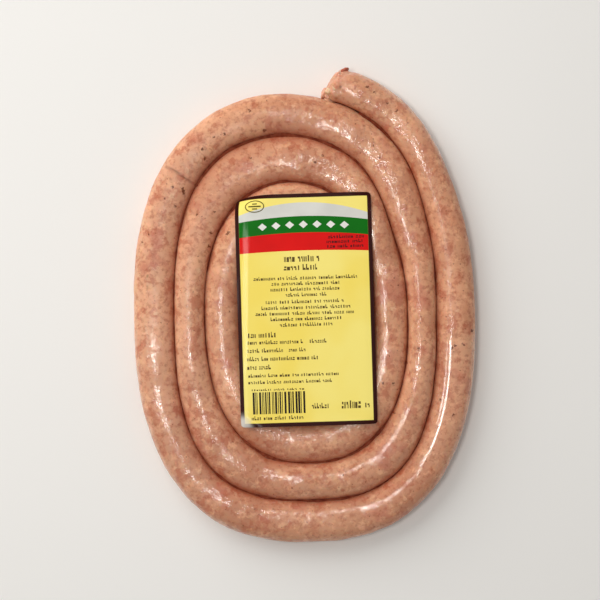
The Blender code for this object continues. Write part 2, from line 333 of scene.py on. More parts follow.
def skin_relief(places, height, at_end, smooth):
    """How far the skin stands out at every point of its rings, and how creased it is there."""
    x, y, up = np.moveaxis(places, -1, 0)
    relief = sum(size * read_noise(places, spread, offset) for spread, size, offset in LUMPS)
    ends = sum(size * read_noise(places, spread, offset) for spread, size, offset in END_LUMPS)
    relief = relief + ends * at_end[:, None]
    hidden = below_label(x, y, LABEL_MARGIN)
    relief = np.where(relief > 0.0, relief * (1.0 - hidden), relief)
    relief = relief * (1.0 - STREAK_CALM * smooth[:, None])
    creased = crease_nearness(x, y) * smooth_step(up / height - CREASED_ABOVE)
    relief = relief - CREASE_DEPTH * creased
    return relief * smooth_step(up / FOOT_FADE), creased


def skin_places():
    """Every point of the skin as rings, its masks as in MASKS, and its distances along and around."""
    point, way, distance, width, scale = skin_rings()
    angle = skin_angles()[None, :]
    at_end = 1.0 - smooth_step(distance / END_LUMPS_REACH)
    smooth = smooth_step((distance - STREAK_FROM) / STREAK_BLEND)
    smooth = smooth * smooth_step((STREAK_TO - distance) / STREAK_BLEND)
    height = section_height(np.clip(distance, 0.0, None), width)[:, None]
    height = height + smooth[:, None] * (STREAK_HEIGHT - height)
    half_height = (height + SAG_FLAT) / 2.0
    half_width = width[:, None] / 2.0

    # The section, pressed flat where it meets its neighbours, then laid out along the route.
    power = 2.0 / SECTION_SQUARENESS
    side = signed_power(np.cos(angle), power)
    rise = signed_power(np.sin(angle), power)
    outer_press = PRESSED * smooth_step((distance[:, None] - PRESSED_FROM) / PRESSED_BLEND)
    across = side * (half_width + np.where(side > 0.0, outer_press, PRESSED)) * scale[:, None]
    across = np.clip(across, -half_width, half_width)
    closer = NUB_SPREAD * np.clip(1.0 - distance / TAPER_REACH, 0.0, 1.0)[:, None] ** 2
    across = across - closer * np.clip(-side, 0.0, 1.0)
    up = height - half_height + rise * half_height * scale[:, None]
    outwards = np.stack((-way[:, 1], way[:, 0]), axis=-1)
    slant = END_SLANT * (1.0 - smooth_step(distance / SLANT_REACH))
    flat = point[:, None, :] + outwards[:, None, :] * across[..., None]
    flat = flat + way[:, None, :] * (across * slant[:, None])[..., None]
    places = np.concatenate((flat, up[..., None]), axis=-1)

    # The relief stands outwards from the section. Nothing goes below the floor, and each end's last
    # ring shrinks to one point, which closes the skin.
    lean = signed_power(np.cos(angle), 2.0 - power) * half_height / half_width
    lift = signed_power(np.sin(angle), 2.0 - power)
    length = np.hypot(lean, lift)
    sideways = outwards[:, None, :] * (lean / length)[..., None]
    normal = np.concatenate((sideways, (lift / length)[..., None]), axis=-1)
    relief, creased = skin_relief(places, height, at_end, smooth)
    places = places + normal * relief[..., None]
    places[..., 2] = np.maximum(places[..., 2], 0.0)
    for pole in (0, -1):
        places[pole] = places[pole].mean(axis=0)
    around = np.concatenate(([0.0], np.cumsum(np.diff(angle[0])))) * USUAL_WIDTH / 2.0
    touching = np.where(side > 0.0, outer_press / PRESSED, 1.0) * (1.0 - at_end[:, None])
    whole_rings = [np.repeat(mask[:, None], places.shape[1], axis=1) for mask in (at_end, smooth)]
    return places, (creased, touching, *whole_rings), distance, around


def skin_mesh():
    """The skin: a grid wrapped round the route, closed along its foot and at both ends."""
    places, masks, distance, around = skin_places()
    rings, sides = places.shape[:2]
    mesh = bmesh.new()
    bmesh.ops.create_grid(mesh, x_segments=rings - 1, y_segments=sides - 1, size=0.5)
    unrolled = mesh.loops.layers.uv.new("unrolled")
    for corner in mesh.verts:
        ring = round((corner.co.x + 0.5) * (rings - 1))
        side = round((corner.co.y + 0.5) * (sides - 1))
        corner.index = ring * sides + side
    for face in mesh.faces:
        for loop in face.loops:
            ring, side = divmod(loop.vert.index, sides)
            loop[unrolled].uv = (distance[ring], around[side])
    for name_of_mask, mask in zip(MASKS, masks):
        layer = mesh.verts.layers.float.new(name_of_mask)
        for corner in mesh.verts:
            corner[layer] = mask[divmod(corner.index, sides)]
    for corner in mesh.verts:
        corner.co = places[divmod(corner.index, sides)]
    bmesh.ops.remove_doubles(mesh, verts=mesh.verts[:], dist=WELDED)
    bmesh.ops.recalc_face_normals(mesh, faces=mesh.faces[:])
    return mesh


# The label's bends


def label_place(x, y, above=0.0):
    """A point of the flat label, bent and laid on the coil, this far above the label's top."""
    turn = math.radians(LABEL_TURN)
    place = Vector((x * math.cos(turn) - y * math.sin(turn), x * math.sin(turn) + y * math.cos(turn)))
    place += Vector(LABEL_CENTRE)
    drop = 0.0
    for facing, begins, radius in LABEL_BENDS:
        direction = Vector((math.cos(math.radians(facing)), math.sin(math.radians(facing))))
        beyond = place.dot(direction) - begins
        if beyond > 0.0:
            place += direction * (radius * math.sin(beyond / radius) - beyond)
            drop += radius * (1.0 - math.cos(beyond / radius))
    return Vector((place.x, place.y, LABEL_UNDERSIDE + LABEL_THICKNESS + above - drop))


def rounded(x, y):
    """A point of the label's rectangle, moved in where its corners are rounded."""
    beyond_x = abs(x) - (LABEL_WIDTH / 2.0 - LABEL_CORNER)
    beyond_y = abs(y) - (LABEL_LENGTH / 2.0 - LABEL_CORNER)
    if beyond_x <= 0.0 or beyond_y <= 0.0:
        return x, y
    pulled = max(beyond_x, beyond_y) / math.hypot(beyond_x, beyond_y)
    return (
        math.copysign(LABEL_WIDTH / 2.0 - LABEL_CORNER + beyond_x * pulled, x),
        math.copysign(LABEL_LENGTH / 2.0 - LABEL_CORNER + beyond_y * pulled, y),
    )


def finished(name, mesh, look):
    """A piece of a mesh that is made round the coil's centre. Its object is at the origin, unturned."""
    data = bpy.data.meshes.new(name)
    mesh.to_mesh(data)
    mesh.free()
    data.transform(Matrix.Translation((*COIL_CENTRE, 0.0)))
    data.materials.append(look)
    data.shade_smooth()
    data.set_sharp_from_angle(angle=math.radians(SHARP_FROM))
    piece = bpy.data.objects.new(name, data)
    bpy.context.scene.collection.objects.link(piece)
    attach(piece, "root")
    return piece


# Helpers for the looks


def add(tree, kind, inputs=None, **settings):
    """A node with its settings. Each input is a value, or the output socket that is joined to it."""
    made = tree.nodes.new(kind)
    for name, value in settings.items():
        setattr(made, name, value)
    for key, value in (inputs or {}).items():
        if isinstance(value, bpy.types.NodeSocket):
            tree.links.new(value, made.inputs[key])
        else:
            made.inputs[key].default_value = value
    return made


def maths(tree, operation, first, second=0.0, third=0.0):
    """The result of a Math node."""
    return add(tree, "ShaderNodeMath", {0: first, 1: second, 2: third}, operation=operation).outputs[0]


def scaled(tree, value, factor):
    """A value times a factor or another value."""
    return maths(tree, "MULTIPLY", value, factor)


def away_from(tree, value, middle):
    """How far a value lies from a middle, to either side."""
    return maths(tree, "ABSOLUTE", maths(tree, "SUBTRACT", value, middle))


def ramp(tree, value, low, high, low_out=0.0, high_out=1.0):
    """A value carried smoothly from one range to another."""
    made = add(
        tree,
        "ShaderNodeMapRange",
        {"Value": value, "From Min": low, "From Max": high, "To Min": low_out, "To Max": high_out},
        interpolation_type="SMOOTHSTEP",
    )
    return made.outputs["Result"]


def mixed(tree, share, first, second):
    """Two colours mixed."""
    return add(tree, "ShaderNodeMix", {0: share, 6: first, 7: second}, data_type="RGBA").outputs[2]


def tinted(tree, share, colour, tint):
    """A colour with a share of a tint over it. The tint is one of 0 to 255."""
    return mixed(tree, share, colour, from_screen(*tint))


def object_place(tree):
    """The place of each point of a piece, in metres from the origin."""
    return add(tree, "ShaderNodeTexCoord").outputs["Object"]


def mask_of(tree, name):
    """One of the masks that the skin's mesh carries."""
    return add(tree, "ShaderNodeAttribute", attribute_name=name).outputs["Fac"]


def moved_by(tree, coordinates, offset):
    """Coordinates with an offset added to them."""
    return add(tree, "ShaderNodeVectorMath", {0: coordinates, 1: offset}, operation="ADD").outputs[0]


def distance_between(tree, place, point):
    """How far a place is from a point."""
    return add(tree, "ShaderNodeVectorMath", {0: place, 1: point}, operation="DISTANCE").outputs["Value"]


def noise_value(tree, coordinates, scale, detail=2.0, roughness=0.5, offset=None):
    """Noise of a scale in lumps per metre, read at the coordinates or an offset away from them."""
    if offset is not None:
        coordinates = moved_by(tree, coordinates, offset)
    made = add(
        tree,
        "ShaderNodeTexNoise",
        {"Vector": coordinates, "Scale": scale, "Detail": detail, "Roughness": roughness},
    )
    return made.outputs["Fac"]


def shaken(tree, place, scale, reach):
    """Coordinates moved about by noise, so that what is drawn with them has uneven edges."""
    wobble = add(tree, "ShaderNodeTexNoise", {"Vector": place, "Scale": scale, "Detail": 1.0})
    halfway = (0.5, 0.5, 0.5)
    uneven = add(tree, "ShaderNodeVectorMath", {0: wobble.outputs["Color"], 1: halfway}, operation="SUBTRACT")
    uneven = add(tree, "ShaderNodeVectorMath", {0: uneven.outputs[0], "Scale": reach}, operation="SCALE")
    return moved_by(tree, place, uneven.outputs[0])


# The smallest speck as a share of the largest, and how sharply a speck's edge comes in.
SMALLEST_SPECK = 0.4
SPECK_EDGE = (-0.012, 0.03)


def specks(tree, coordinates, spacing, size, share, offset):
    """A mask of round specks: one in a share of cells of this spacing, up to this size across."""
    moved = moved_by(tree, coordinates, offset)
    cells = add(tree, "ShaderNodeTexVoronoi", {"Vector": moved, "Scale": 1.0 / spacing, "Randomness": 1.0})
    chance = add(tree, "ShaderNodeSeparateColor", {"Color": cells.outputs["Color"]})
    wanted = maths(tree, "LESS_THAN", chance.outputs[0], share)
    largest = size / spacing / 2.0
    swing = largest * (1.0 - SMALLEST_SPECK)
    radius = maths(tree, "MULTIPLY_ADD", chance.outputs[1], swing, largest * SMALLEST_SPECK)
    near = maths(tree, "SUBTRACT", radius, cells.outputs["Distance"])
    return scaled(tree, ramp(tree, near, *SPECK_EDGE), wanted)


def new_look(name, finish):
    """A material, its tree and its shader, with the values in a finish set on the shader's sockets."""
    made = bpy.data.materials.new(name)
    made.use_nodes = True
    shader = made.node_tree.nodes["Principled BSDF"]
    for socket, value in finish.items():
        shader.inputs[socket].default_value = value
    return made, made.node_tree, shader


def uneven_surface(tree, shader, height, strength, depth):
    """Bumps in a surface and in the wet coat or film on it."""
    bump = add(tree, "ShaderNodeBump", {"Height": height, "Strength": strength, "Distance": depth})
    tree.links.new(bump.outputs[0], shader.inputs["Normal"])
    tree.links.new(bump.outputs[0], shader.inputs["Coat Normal"])


# The look of the sausage

# The colours here and below are of 0 to 255, as a picture shows them. Noise has its lumps per metre,
# its detail, its roughness and where it is read.
CASING_FINISH = {
    "Roughness": 0.5,
    "Specular IOR Level": 0.3,
    "Coat Roughness": 0.09,
    "Subsurface Radius": (1.0, 0.35, 0.2),
    "Subsurface Scale": 4.0 * MM,
}

# How the coordinates that things are drawn with are shaken, for uneven edges: lumps per metre and reach.
RAGGED = (380.0, 4.0 * MM)
NICKED = (1300.0, 1.1 * MM)
GRAIN_SHAKE = (800.0, 2.2 * MM)

# The flesh changes softly between two colours. Painted sheen makes it paler towards the left and painted
# shade browner towards the bottom: the axis, where that begins and is whole, its strength and its colour.
FLESH_COLOURS = ((208, 146, 112), (223, 165, 129))
FLESH_LUMPS = 32.0
FLESH_CHANGE = (0.35, 0.65)
PAINTED_SHEEN_AND_SHADE = (
    ("X", -25.0 * MM, -70.0 * MM, 0.28, (240, 196, 166)),
    ("Y", -45.0 * MM, -85.0 * MM, 0.17, (150, 86, 60)),
)

# The mince over the flesh, from the bottom up: pale, lean, red and fine dark mince. For each one the
# coordinates, the noise, the noise's values where it begins and is whole, its strength and its colour.
MINCE = (
    ("ragged", (190.0, 3.0, 0.55, (1.3, 0.2, 0.0)), (0.50, 0.67), 0.65, (238, 184, 146)),
    ("ragged", (150.0, 3.0, 0.6, (0.0, 2.1, 0.7)), (0.51, 0.67), 0.65, (186, 104, 74)),
    ("ragged", (62.0, 2.0, 0.5, (4.0, 0.0, 3.1)), (0.58, 0.70), 0.45, (190, 102, 82)),
    ("nicked", (430.0, 2.0, 0.6), (0.47, 0.72), 0.5, (168, 88, 56)),
)

# Bits in the mince, from the bottom up: the coordinates, then their spacing, their size, the share of
# places that hold one and where they are read, then their strength and their colour.
BITS = {
    "fat": ("ragged", (7.0 * MM, 3.0 * MM, 0.35, (0.3, 0.7, 0.1)), 0.34, (244, 204, 166)),
    "red bits": ("nicked", (3.4 * MM, 1.0 * MM, 0.6, (0.0, 0.4, 0.9)), 0.55, (134, 66, 40)),
    "pepper": ("nicked", (6.5 * MM, 1.1 * MM, 0.6, (0.8, 0.1, 0.5)), 0.85, (104, 46, 14)),
    "herb": ("ragged", (17.0 * MM, 2.4 * MM, 0.5, (0.2, 0.9, 0.6)), 0.5, (124, 96, 50)),
}

# Dark grains of pepper and herb that the photo shows one by one: their place in millimetres from the
# origin, as seen from above, and their size.
GRAINS = (
    (-52.6, 79.9, 1.1), (-51.2, 75.2, 0.9), (-40.3, 79.5, 0.8), (-67.6, 60.5, 1.1), (-62.5, 59.6, 0.8),
    (-62.2, 58.4, 1.2), (-62.0, 57.1, 0.9), (-66.6, 50.9, 0.9), (-71.6, 54.4, 0.6), (-79.9, 36.2, 0.8),
    (-83.4, 32.3, 0.9), (-48.3, 37.1, 0.9), (-49.0, 30.2, 0.9), (-55.0, 46.6, 0.7), (-46.4, 48.2, 0.7),
    (-39.8, 36.3, 0.7), (-39.2, 36.9, 0.8), (-38.5, 37.4, 0.6), (-28.2, 99.8, 0.8), (-41.0, 87.9, 1.1),
    (-46.5, 86.2, 1.0), (-27.7, 75.9, 1.0), (-20.7, 89.8, 1.1), (9.5, 76.8, 0.9), (5.4, 73.4, 0.8),
    (32.3, 111.7, 1.3), (35.9, 109.3, 0.9), (18.6, 112.0, 0.9), (47.4, 99.7, 0.8), (42.6, 103.7, 0.7),
    (52.4, -29.8, 0.9), (40.2, -40.0, 1.0), (46.1, -55.3, 1.1), (58.7, -22.1, 0.8), (86.4, -13.2, 1.1),
    (81.7, -20.4, 0.8), (75.8, -22.1, 0.8), (77.4, -20.9, 0.7), (76.5, -56.2, 1.0), (45.7, -40.1, 0.8),
    (70.1, -48.8, 0.7), (43.4, -26.2, 0.7),
)
GRAIN_COLOUR = (106, 46, 12)
GRAIN_STRENGTH = 0.92
GRAIN_EDGE = (0.5 * MM, -0.12 * MM)

# The grains are left off a low band round the coil's side.
GRAIN_FREE_HEIGHT = 3.5 * MM
GRAIN_FREE_REACH = 1.5 * MM

# The creases are painted darker, as painted shade in their dents.
CREASE_SHADE_COLOUR = (116, 56, 42)
CREASE_SHADE_STRENGTH = 0.9

# Paler torn casing at the outer end.
RIM_COLOUR = (224, 162, 134)
RIM_STRENGTH = 0.7
RIM_LUMPS = (340.0, 3.0, 0.6, (2.0, 2.0, 0.0))
RIM_EDGE = (0.40, 0.56)

# Deep between the turns the casing is painted darker and redder, as painted shade in the valleys: the
# heights between which that comes in, going down, and goes out again above the foot.
VALLEY_SHADE_COLOUR = (160, 62, 32)
VALLEY_SHADE_STRENGTH = 0.85
VALLEY_TOP = (17.0 * MM, 11.0 * MM)
VALLEY_FOOT = (3.0 * MM, 8.0 * MM)

# How much of the light soaks into the meat. Hardly any soaks into grains and pepper.
FLESH_GLOW = 0.6

# The casing is wet apart from its upper left: it gets wet across a slanting line, between these
# places to the right, and between these heights further down. The wet lies in patches. A stretch at
# the right is drier: its middle's height, between which distances up or down from there that comes
# in, between which places to the right, and how dry it is. Last come the coat's least weight and what
# it gains where the casing is wettest.
WET_SLANT = 0.35
WET_ACROSS = (-75.0 * MM, -15.0 * MM)
WET_DOWN = (-4.0 * MM, -24.0 * MM)
WET_PATCHES = (120.0, 2.0)
WET_PATCH_EDGE = (0.38, 0.6, 0.35, 1.0)
DRY_MIDDLE = 26.0 * MM
DRY_UP_AND_DOWN = (52.0 * MM, 38.0 * MM)
DRY_ACROSS = (44.0 * MM, 64.0 * MM)
DRYNESS = 0.82
COAT = (0.06, 0.9)

# Fine wrinkles, which the smooth stretch has little of.
WRINKLES = (480.0, 3.0, 0.6)
WRINKLE_DEPTH = 0.4 * MM
WRINKLE_STRENGTH = 0.42
SMOOTH_STRENGTH = 0.06


def flesh_colour(tree, place, spread):
    """Pork seen through the casing, before the mince: soft changes, painted sheen and painted shade."""
    broad = ramp(tree, noise_value(tree, place, FLESH_LUMPS), *FLESH_CHANGE)
    colour = mixed(tree, broad, *(from_screen(*each) for each in FLESH_COLOURS))
    # Painted sheen pales the left and painted shade browns the bottom.
    for axis, begins, whole, strength, tint in PAINTED_SHEEN_AND_SHADE:
        painted_light = ramp(tree, spread.outputs[axis], begins, whole, 0.0, strength)
        colour = tinted(tree, painted_light, colour, tint)
    return colour


def grain_mask(tree, place, height):
    """The dark grains, each drawn round its place as seen from above."""
    moved = add(tree, "ShaderNodeSeparateXYZ", {"Vector": shaken(tree, place, *GRAIN_SHAKE)})
    seen = add(tree, "ShaderNodeCombineXYZ", {"X": moved.outputs["X"], "Y": moved.outputs["Y"]}).outputs[0]
    nearest = 1.0
    for x, y, size in GRAINS:
        apart = distance_between(tree, seen, (x * MM, y * MM, 0.0))
        beyond = maths(tree, "SUBTRACT", apart, size * MM / 2.0)
        nearest = maths(tree, "MINIMUM", nearest, beyond)
    grain = ramp(tree, nearest, *GRAIN_EDGE, 0.0, GRAIN_STRENGTH)
    clear = maths(tree, "GREATER_THAN", away_from(tree, height, GRAIN_FREE_HEIGHT), GRAIN_FREE_REACH)
    return scaled(tree, grain, clear)


def wetness(tree, place, spread, smooth):
    """How wet the casing is, from 0 to 1. The smooth stretch is wet all over."""
    along = maths(tree, "SUBTRACT", spread.outputs["X"], scaled(tree, spread.outputs["Y"], WET_SLANT))
    wet = ramp(tree, along, *WET_ACROSS)
    wet = maths(tree, "MAXIMUM", wet, ramp(tree, spread.outputs["Y"], *WET_DOWN))
    wet = scaled(tree, wet, ramp(tree, noise_value(tree, place, *WET_PATCHES), *WET_PATCH_EDGE))
    dry = ramp(tree, away_from(tree, spread.outputs["Y"], DRY_MIDDLE), *DRY_UP_AND_DOWN)
    dry = scaled(tree, dry, ramp(tree, spread.outputs["X"], *DRY_ACROSS))
    wet = scaled(tree, wet, maths(tree, "MULTIPLY_ADD", dry, -DRYNESS, 1.0))
    return maths(tree, "MAXIMUM", wet, smooth)


def casing_look():
    """Minced raw pork seen through a thin, wet natural casing."""
    made, tree, shader = new_look("raw pork in natural casing", CASING_FINISH)
    place = object_place(tree)
    coordinates = {"ragged": shaken(tree, place, *RAGGED), "nicked": shaken(tree, place, *NICKED)}
    spread = add(tree, "ShaderNodeSeparateXYZ", {"Vector": place})
    height = spread.outputs["Z"]

    # The meat, then the mince, and the bits of fat and spice in it.
    colour = flesh_colour(tree, place, spread)
    for which, lumps, change, strength, tint in MINCE:
        mince = noise_value(tree, coordinates[which], *lumps)
        colour = tinted(tree, ramp(tree, mince, *change, 0.0, strength), colour, tint)
    bits = {}
    for name, (which, spots, strength, tint) in BITS.items():
        bits[name] = specks(tree, coordinates[which], *spots)
        colour = tinted(tree, scaled(tree, bits[name], strength), colour, tint)
    grain = grain_mask(tree, place, height)
    colour = tinted(tree, grain, colour, GRAIN_COLOUR)

    # The casing's creases with painted shade, its torn outer end, and painted shade in the valleys between
    # the turns.
    colour = tinted(tree, scaled(tree, mask_of(tree, "crease"), CREASE_SHADE_STRENGTH), colour, CREASE_SHADE_COLOUR)
    torn = ramp(tree, noise_value(tree, coordinates["ragged"], *RIM_LUMPS), *RIM_EDGE)
    rim = scaled(tree, mask_of(tree, "outer end"), torn)
    colour = tinted(tree, scaled(tree, rim, RIM_STRENGTH), colour, RIM_COLOUR)
    # Painted shade, darker and redder, deep in the valleys where the turns touch.
    low = scaled(tree, ramp(tree, height, *VALLEY_TOP), ramp(tree, height, *VALLEY_FOOT))
    low = scaled(tree, low, mask_of(tree, "touching"))
    colour = tinted(tree, scaled(tree, low, VALLEY_SHADE_STRENGTH), colour, VALLEY_SHADE_COLOUR)
    tree.links.new(colour, shader.inputs["Base Color"])

    # Light soaks into the meat, and the wet casing mirrors it.
    dark = maths(tree, "MAXIMUM", grain, bits["pepper"])
    glow = maths(tree, "MULTIPLY_ADD", dark, -FLESH_GLOW, FLESH_GLOW)
    tree.links.new(glow, shader.inputs["Subsurface Weight"])
    smooth = mask_of(tree, "smooth stretch")
    least, wettest = COAT
    coat = maths(tree, "MULTIPLY_ADD", wetness(tree, place, spread, smooth), wettest, least)
    tree.links.new(coat, shader.inputs["Coat Weight"])
    strength = ramp(tree, smooth, 0.0, 1.0, WRINKLE_STRENGTH, SMOOTH_STRENGTH)
    uneven_surface(tree, shader, noise_value(tree, place, *WRINKLES), strength, WRINKLE_DEPTH)
    return made


# The look of the card and its print

# The film over the label has a low sheen and soft waves: lumps per metre, strength and depth.
FILM_FINISH = {
    "Coat Weight": 0.12,
    "Roughness": 0.5,
    "Specular IOR Level": 0.08,
    "Coat Roughness": 0.08,
}
FILM_WAVES = 45.0
FILM_WAVE_STRENGTH = 0.25
FILM_WAVE_DEPTH = 0.5 * MM

# The inks, and how much darker each one is where it is thin.
INK_COLOURS = {
    "red": (228, 10, 8),
    "green": (0, 112, 8),
    "pale grey": (226, 225, 218),
    "white": (244, 242, 236),
    "brown": (92, 74, 34),
    "dark red": (84, 14, 14),
    "olive": (96, 88, 30),
    "black": (40, 30, 24),
}
INK_DARKER = 0.88
INK_CLOUDS = (60.0, 3.0)
INK_CHANGE = (0.3, 0.7)

# The card's yellow, its dark border, and painted glare, a pale reflection at one corner of the film: the
# middle of the patch, how far it reaches, the share of it that is whole, and its ragged edge.
CARD_COLOURS = ((252, 227, 104), (255, 237, 130))
CARD_CLOUDS = 30.0
CARD_CHANGE = (0.35, 0.65)
BORDER = 2.0 * MM
BORDER_COLOUR = (50, 12, 8)
BORDER_SOFTNESS = 0.15 * MM
GLARE_CORNER = (-32.0 * MM, -61.0 * MM, 14.0 * MM)
GLARE_REACH = 9.5 * MM
GLARE_WHOLE = 0.45
GLARE_STRENGTH = 0.85
GLARE_SHAKE = (150.0, 5.0 * MM)
GLARE_COLOUR = (242, 236, 226)


def laminate(tree, place, shader):
    """The soft waves of the film over the label."""
    waves = noise_value(tree, place, FILM_WAVES)
    uneven_surface(tree, shader, waves, FILM_WAVE_STRENGTH, FILM_WAVE_DEPTH)


def printed_look(ink):
    """Printed, laminated card of one ink, a little uneven."""
    made, tree, shader = new_look(f"{ink} print", FILM_FINISH)
    place = object_place(tree)
    colour = from_screen(*INK_COLOURS[ink])
    darker = tuple(share * INK_DARKER for share in colour[:3]) + (1.0,)
    cloudy = ramp(tree, noise_value(tree, place, *INK_CLOUDS), *INK_CHANGE)
    tree.links.new(mixed(tree, cloudy, darker, colour), shader.inputs["Base Color"])
    laminate(tree, place, shader)
    return made


def card_look():
    """Yellow laminated card with a dark maroon border, and painted glare at one corner."""
    made, tree, shader = new_look("yellow laminated card", FILM_FINISH)
    place = object_place(tree)
    flat = add(tree, "ShaderNodeUVMap", uv_map="flat card").outputs[0]
    spread = add(tree, "ShaderNodeSeparateXYZ", {"Vector": flat})
    to_side = maths(tree, "SUBTRACT", LABEL_WIDTH / 2.0, maths(tree, "ABSOLUTE", spread.outputs["X"]))
    to_end = maths(tree, "SUBTRACT", LABEL_LENGTH / 2.0, maths(tree, "ABSOLUTE", spread.outputs["Y"]))
    inside = maths(tree, "MINIMUM", to_side, to_end)
    cloudy = ramp(tree, noise_value(tree, place, CARD_CLOUDS), *CARD_CHANGE)
    yellow = mixed(tree, cloudy, *(from_screen(*each) for each in CARD_COLOURS))
    within = ramp(tree, inside, BORDER - BORDER_SOFTNESS, BORDER + BORDER_SOFTNESS)
    colour = mixed(tree, within, from_screen(*BORDER_COLOUR), yellow)
    # Painted glare: a pale reflection of the light on the film, near the lower left corner.
    apart = distance_between(tree, shaken(tree, place, *GLARE_SHAKE), GLARE_CORNER)
    whole = GLARE_WHOLE * GLARE_REACH
    painted_glare = ramp(tree, apart, GLARE_REACH, whole, 0.0, GLARE_STRENGTH)
    tree.links.new(tinted(tree, painted_glare, colour, GLARE_COLOUR), shader.inputs["Base Color"])
    laminate(tree, place, shader)
    return made


# The label and its print

# The ink's thickness. Each layer of print lies one thickness higher, on the one below it.
INK = 0.02 * MM


def strip_between(mesh, left, right, low, high, above, cells=(60, 6)):
    """A patch of the label between two lines, each a function of x, in millimetres."""
    made = bmesh.ops.create_grid(mesh, x_segments=cells[0], y_segments=cells[1], size=0.5)["verts"]
    for corner in made:
        x = left + (right - left) * (corner.co.x + 0.5)
        y = low(x) + (high(x) - low(x)) * (corner.co.y + 0.5)
        corner.co = label_place(x * MM, y * MM, above)


def bar(mesh, x, y, width, height, above=2 * INK, step=2.5):
    """A flat bar of ink on the label: its centre and its size, in millimetres."""
    cells = (max(1, math.ceil(width / step)), max(1, math.ceil(height / step)))
    half = width / 2.0
    low = y - height / 2.0
    high = y + height / 2.0
    strip_between(mesh, x - half, x + half, lambda _: low, lambda _: high, above, cells)


def thickened(mesh, thickness):
    """Gives every open patch in a mesh its thickness downwards, so that it is closed."""
    bmesh.ops.recalc_face_normals(mesh, faces=mesh.faces[:])
    for face in mesh.faces:
        if face.normal.z < 0.0:
            face.normal_flip()
    bmesh.ops.solidify(mesh, geom=mesh.faces[:], thickness=thickness)
    bmesh.ops.recalc_face_normals(mesh, faces=mesh.faces[:])


def make_card():
    """The laminated card itself."""
    mesh = bmesh.new()
    columns = round(LABEL_WIDTH / CELL)
    rows = round(LABEL_LENGTH / CELL)
    bmesh.ops.create_grid(mesh, x_segments=columns, y_segments=rows, size=0.5)
    flat_places = mesh.loops.layers.uv.new("flat card")
    for face in mesh.faces:
        for loop in face.loops:
            loop[flat_places].uv = rounded(loop.vert.co.x * LABEL_WIDTH, loop.vert.co.y * LABEL_LENGTH)
    for corner in mesh.verts:
        corner.co = label_place(*rounded(corner.co.x * LABEL_WIDTH, corner.co.y * LABEL_LENGTH))
    thickened(mesh, LABEL_THICKNESS)
    card = finished("label_card", mesh, card_look())
    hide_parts("label")


# The header: bands that arch across the label, each from one arch up to the next. An arch is its
# height in the middle and how far it drops at the label's edges, in millimetres.
HALF_HEADER = 33.0
ARCHES = ((30.4, 1.0), (39.6, 2.0), (48.0, 2.6), (55.0, 6.0))
HEADER_INKS = ("red", "green", "pale grey")

# The lozenges on the green band: how many stand on each side of the middle one, how far apart, how
# high, half of one's width and height, its mesh's cells, and how close points are merged at its tips.
LOZENGES_BESIDE = 3
LOZENGE_SPACING = 7.0
LOZENGE_MIDDLE = 43.7
LOZENGE_HALF = (2.3, 1.9)
LOZENGE_CELLS = (8, 2)
JOINED = 0.01 * MM


def arch(number):
    """One line of the header, as a function of x in millimetres."""
    middle, drop = ARCHES[number]
    return lambda x: middle - drop * (x / HALF_HEADER) ** 2


def make_header():
    """Three arched bands across the top of the label, with a row of pale lozenges on the green one."""
    for number, ink in enumerate(HEADER_INKS):
        mesh = bmesh.new()
        strip_between(mesh, -HALF_HEADER, HALF_HEADER, arch(number), arch(number + 1), INK)
        thickened(mesh, INK)
        finished(f"{ink.replace(' ', '_')}_band", mesh, printed_look(ink))
    mesh = bmesh.new()
    half_width, half_height = LOZENGE_HALF
    drop = ARCHES[1][1]
    for number in range(-LOZENGES_BESIDE, LOZENGES_BESIDE + 1):
        x = number * LOZENGE_SPACING
        y = LOZENGE_MIDDLE - drop * (x / HALF_HEADER) ** 2
        strip_between(
            mesh,
            x - half_width,
            x + half_width,
            lambda u: y - half_height * (1.0 - abs(u - x) / half_width),
            lambda u: y + half_height * (1.0 - abs(u - x) / half_width),
            2 * INK,
            LOZENGE_CELLS,
        )
    bmesh.ops.remove_doubles(mesh, verts=mesh.verts[:], dist=JOINED)
    thickened(mesh, INK)
    finished("lozenges", mesh, printed_look("white"))


# Rows of small print: left end, right end, height of the row's middle and height of its marks, in
# millimetres on the flat label.
ROWS = (
    (-26.4, 27.1, 16.5, 1.9), (-17.2, 18.2, 13.7, 1.9), (-17.8, 18.1, 10.8, 1.9), (-10.1, 11.3, 7.9, 1.9),
    (-20.6, 20.5, 4.4, 1.9), (-22.7, 24.6, 1.4, 1.9), (-25.9, 26.6, -1.5, 1.9), (-18.2, 18.7, -4.4, 1.9),
    (-13.6, 13.9, -7.4, 1.9), (-30.5, -1.4, -16.0, 2.1), (1.2, 10.5, -16.0, 2.1), (-30.7, -12.0, -20.2, 2.1),
    (-9.4, 0.0, -20.2, 2.0), (-30.8, 6.6, -24.4, 2.2), (-30.9, -18.5, -28.7, 2.4), (-30.5, 16.2, -33.0, 1.8),
    (-30.6, 12.5, -36.4, 1.8), (-29.4, -1.4, -54.8, 2.0), (-29.2, -1.1, -40.3, 1.1), (1.6, 11.1, -49.3, 2.8),
)
BOLD_ROWS = ((-30.4, -15.2, -12.2, 2.9), (16.8, 27.6, -48.6, 5.0), (28.6, 32.4, -49.4, 3.0))
TITLE_ROWS = ((-10.4, 8.0, 26.7, 4.0), (-10.7, 8.0, 21.9, 3.0))
HEADER_ROWS = ((12.4, 31.6, 37.0, 1.8), (11.6, 31.6, 34.6, 1.8), (11.6, 31.6, 32.2, 1.8))

# The rows of each piece of print, with the width of a mark and the gap after it, and its ink.
SMALL_PRINT = ((ROWS, 0.95, 0.3), (BOLD_ROWS, 1.15, 0.3), (TITLE_ROWS, 1.2, 0.32))
HEADER_PRINT = ((HEADER_ROWS, 1.1, 0.3),)
PRINT_PIECES = (("small_print", SMALL_PRINT, "brown"), ("header_print", HEADER_PRINT, "dark red"))
PRINT_SEED = 7

# How many marks stand together in a group, and how much their widths and gaps vary.
GROUP_MARKS = (3, 10)
MARK_VARIES = (0.75, 1.3)
GAP_VARIES = (0.8, 1.2)

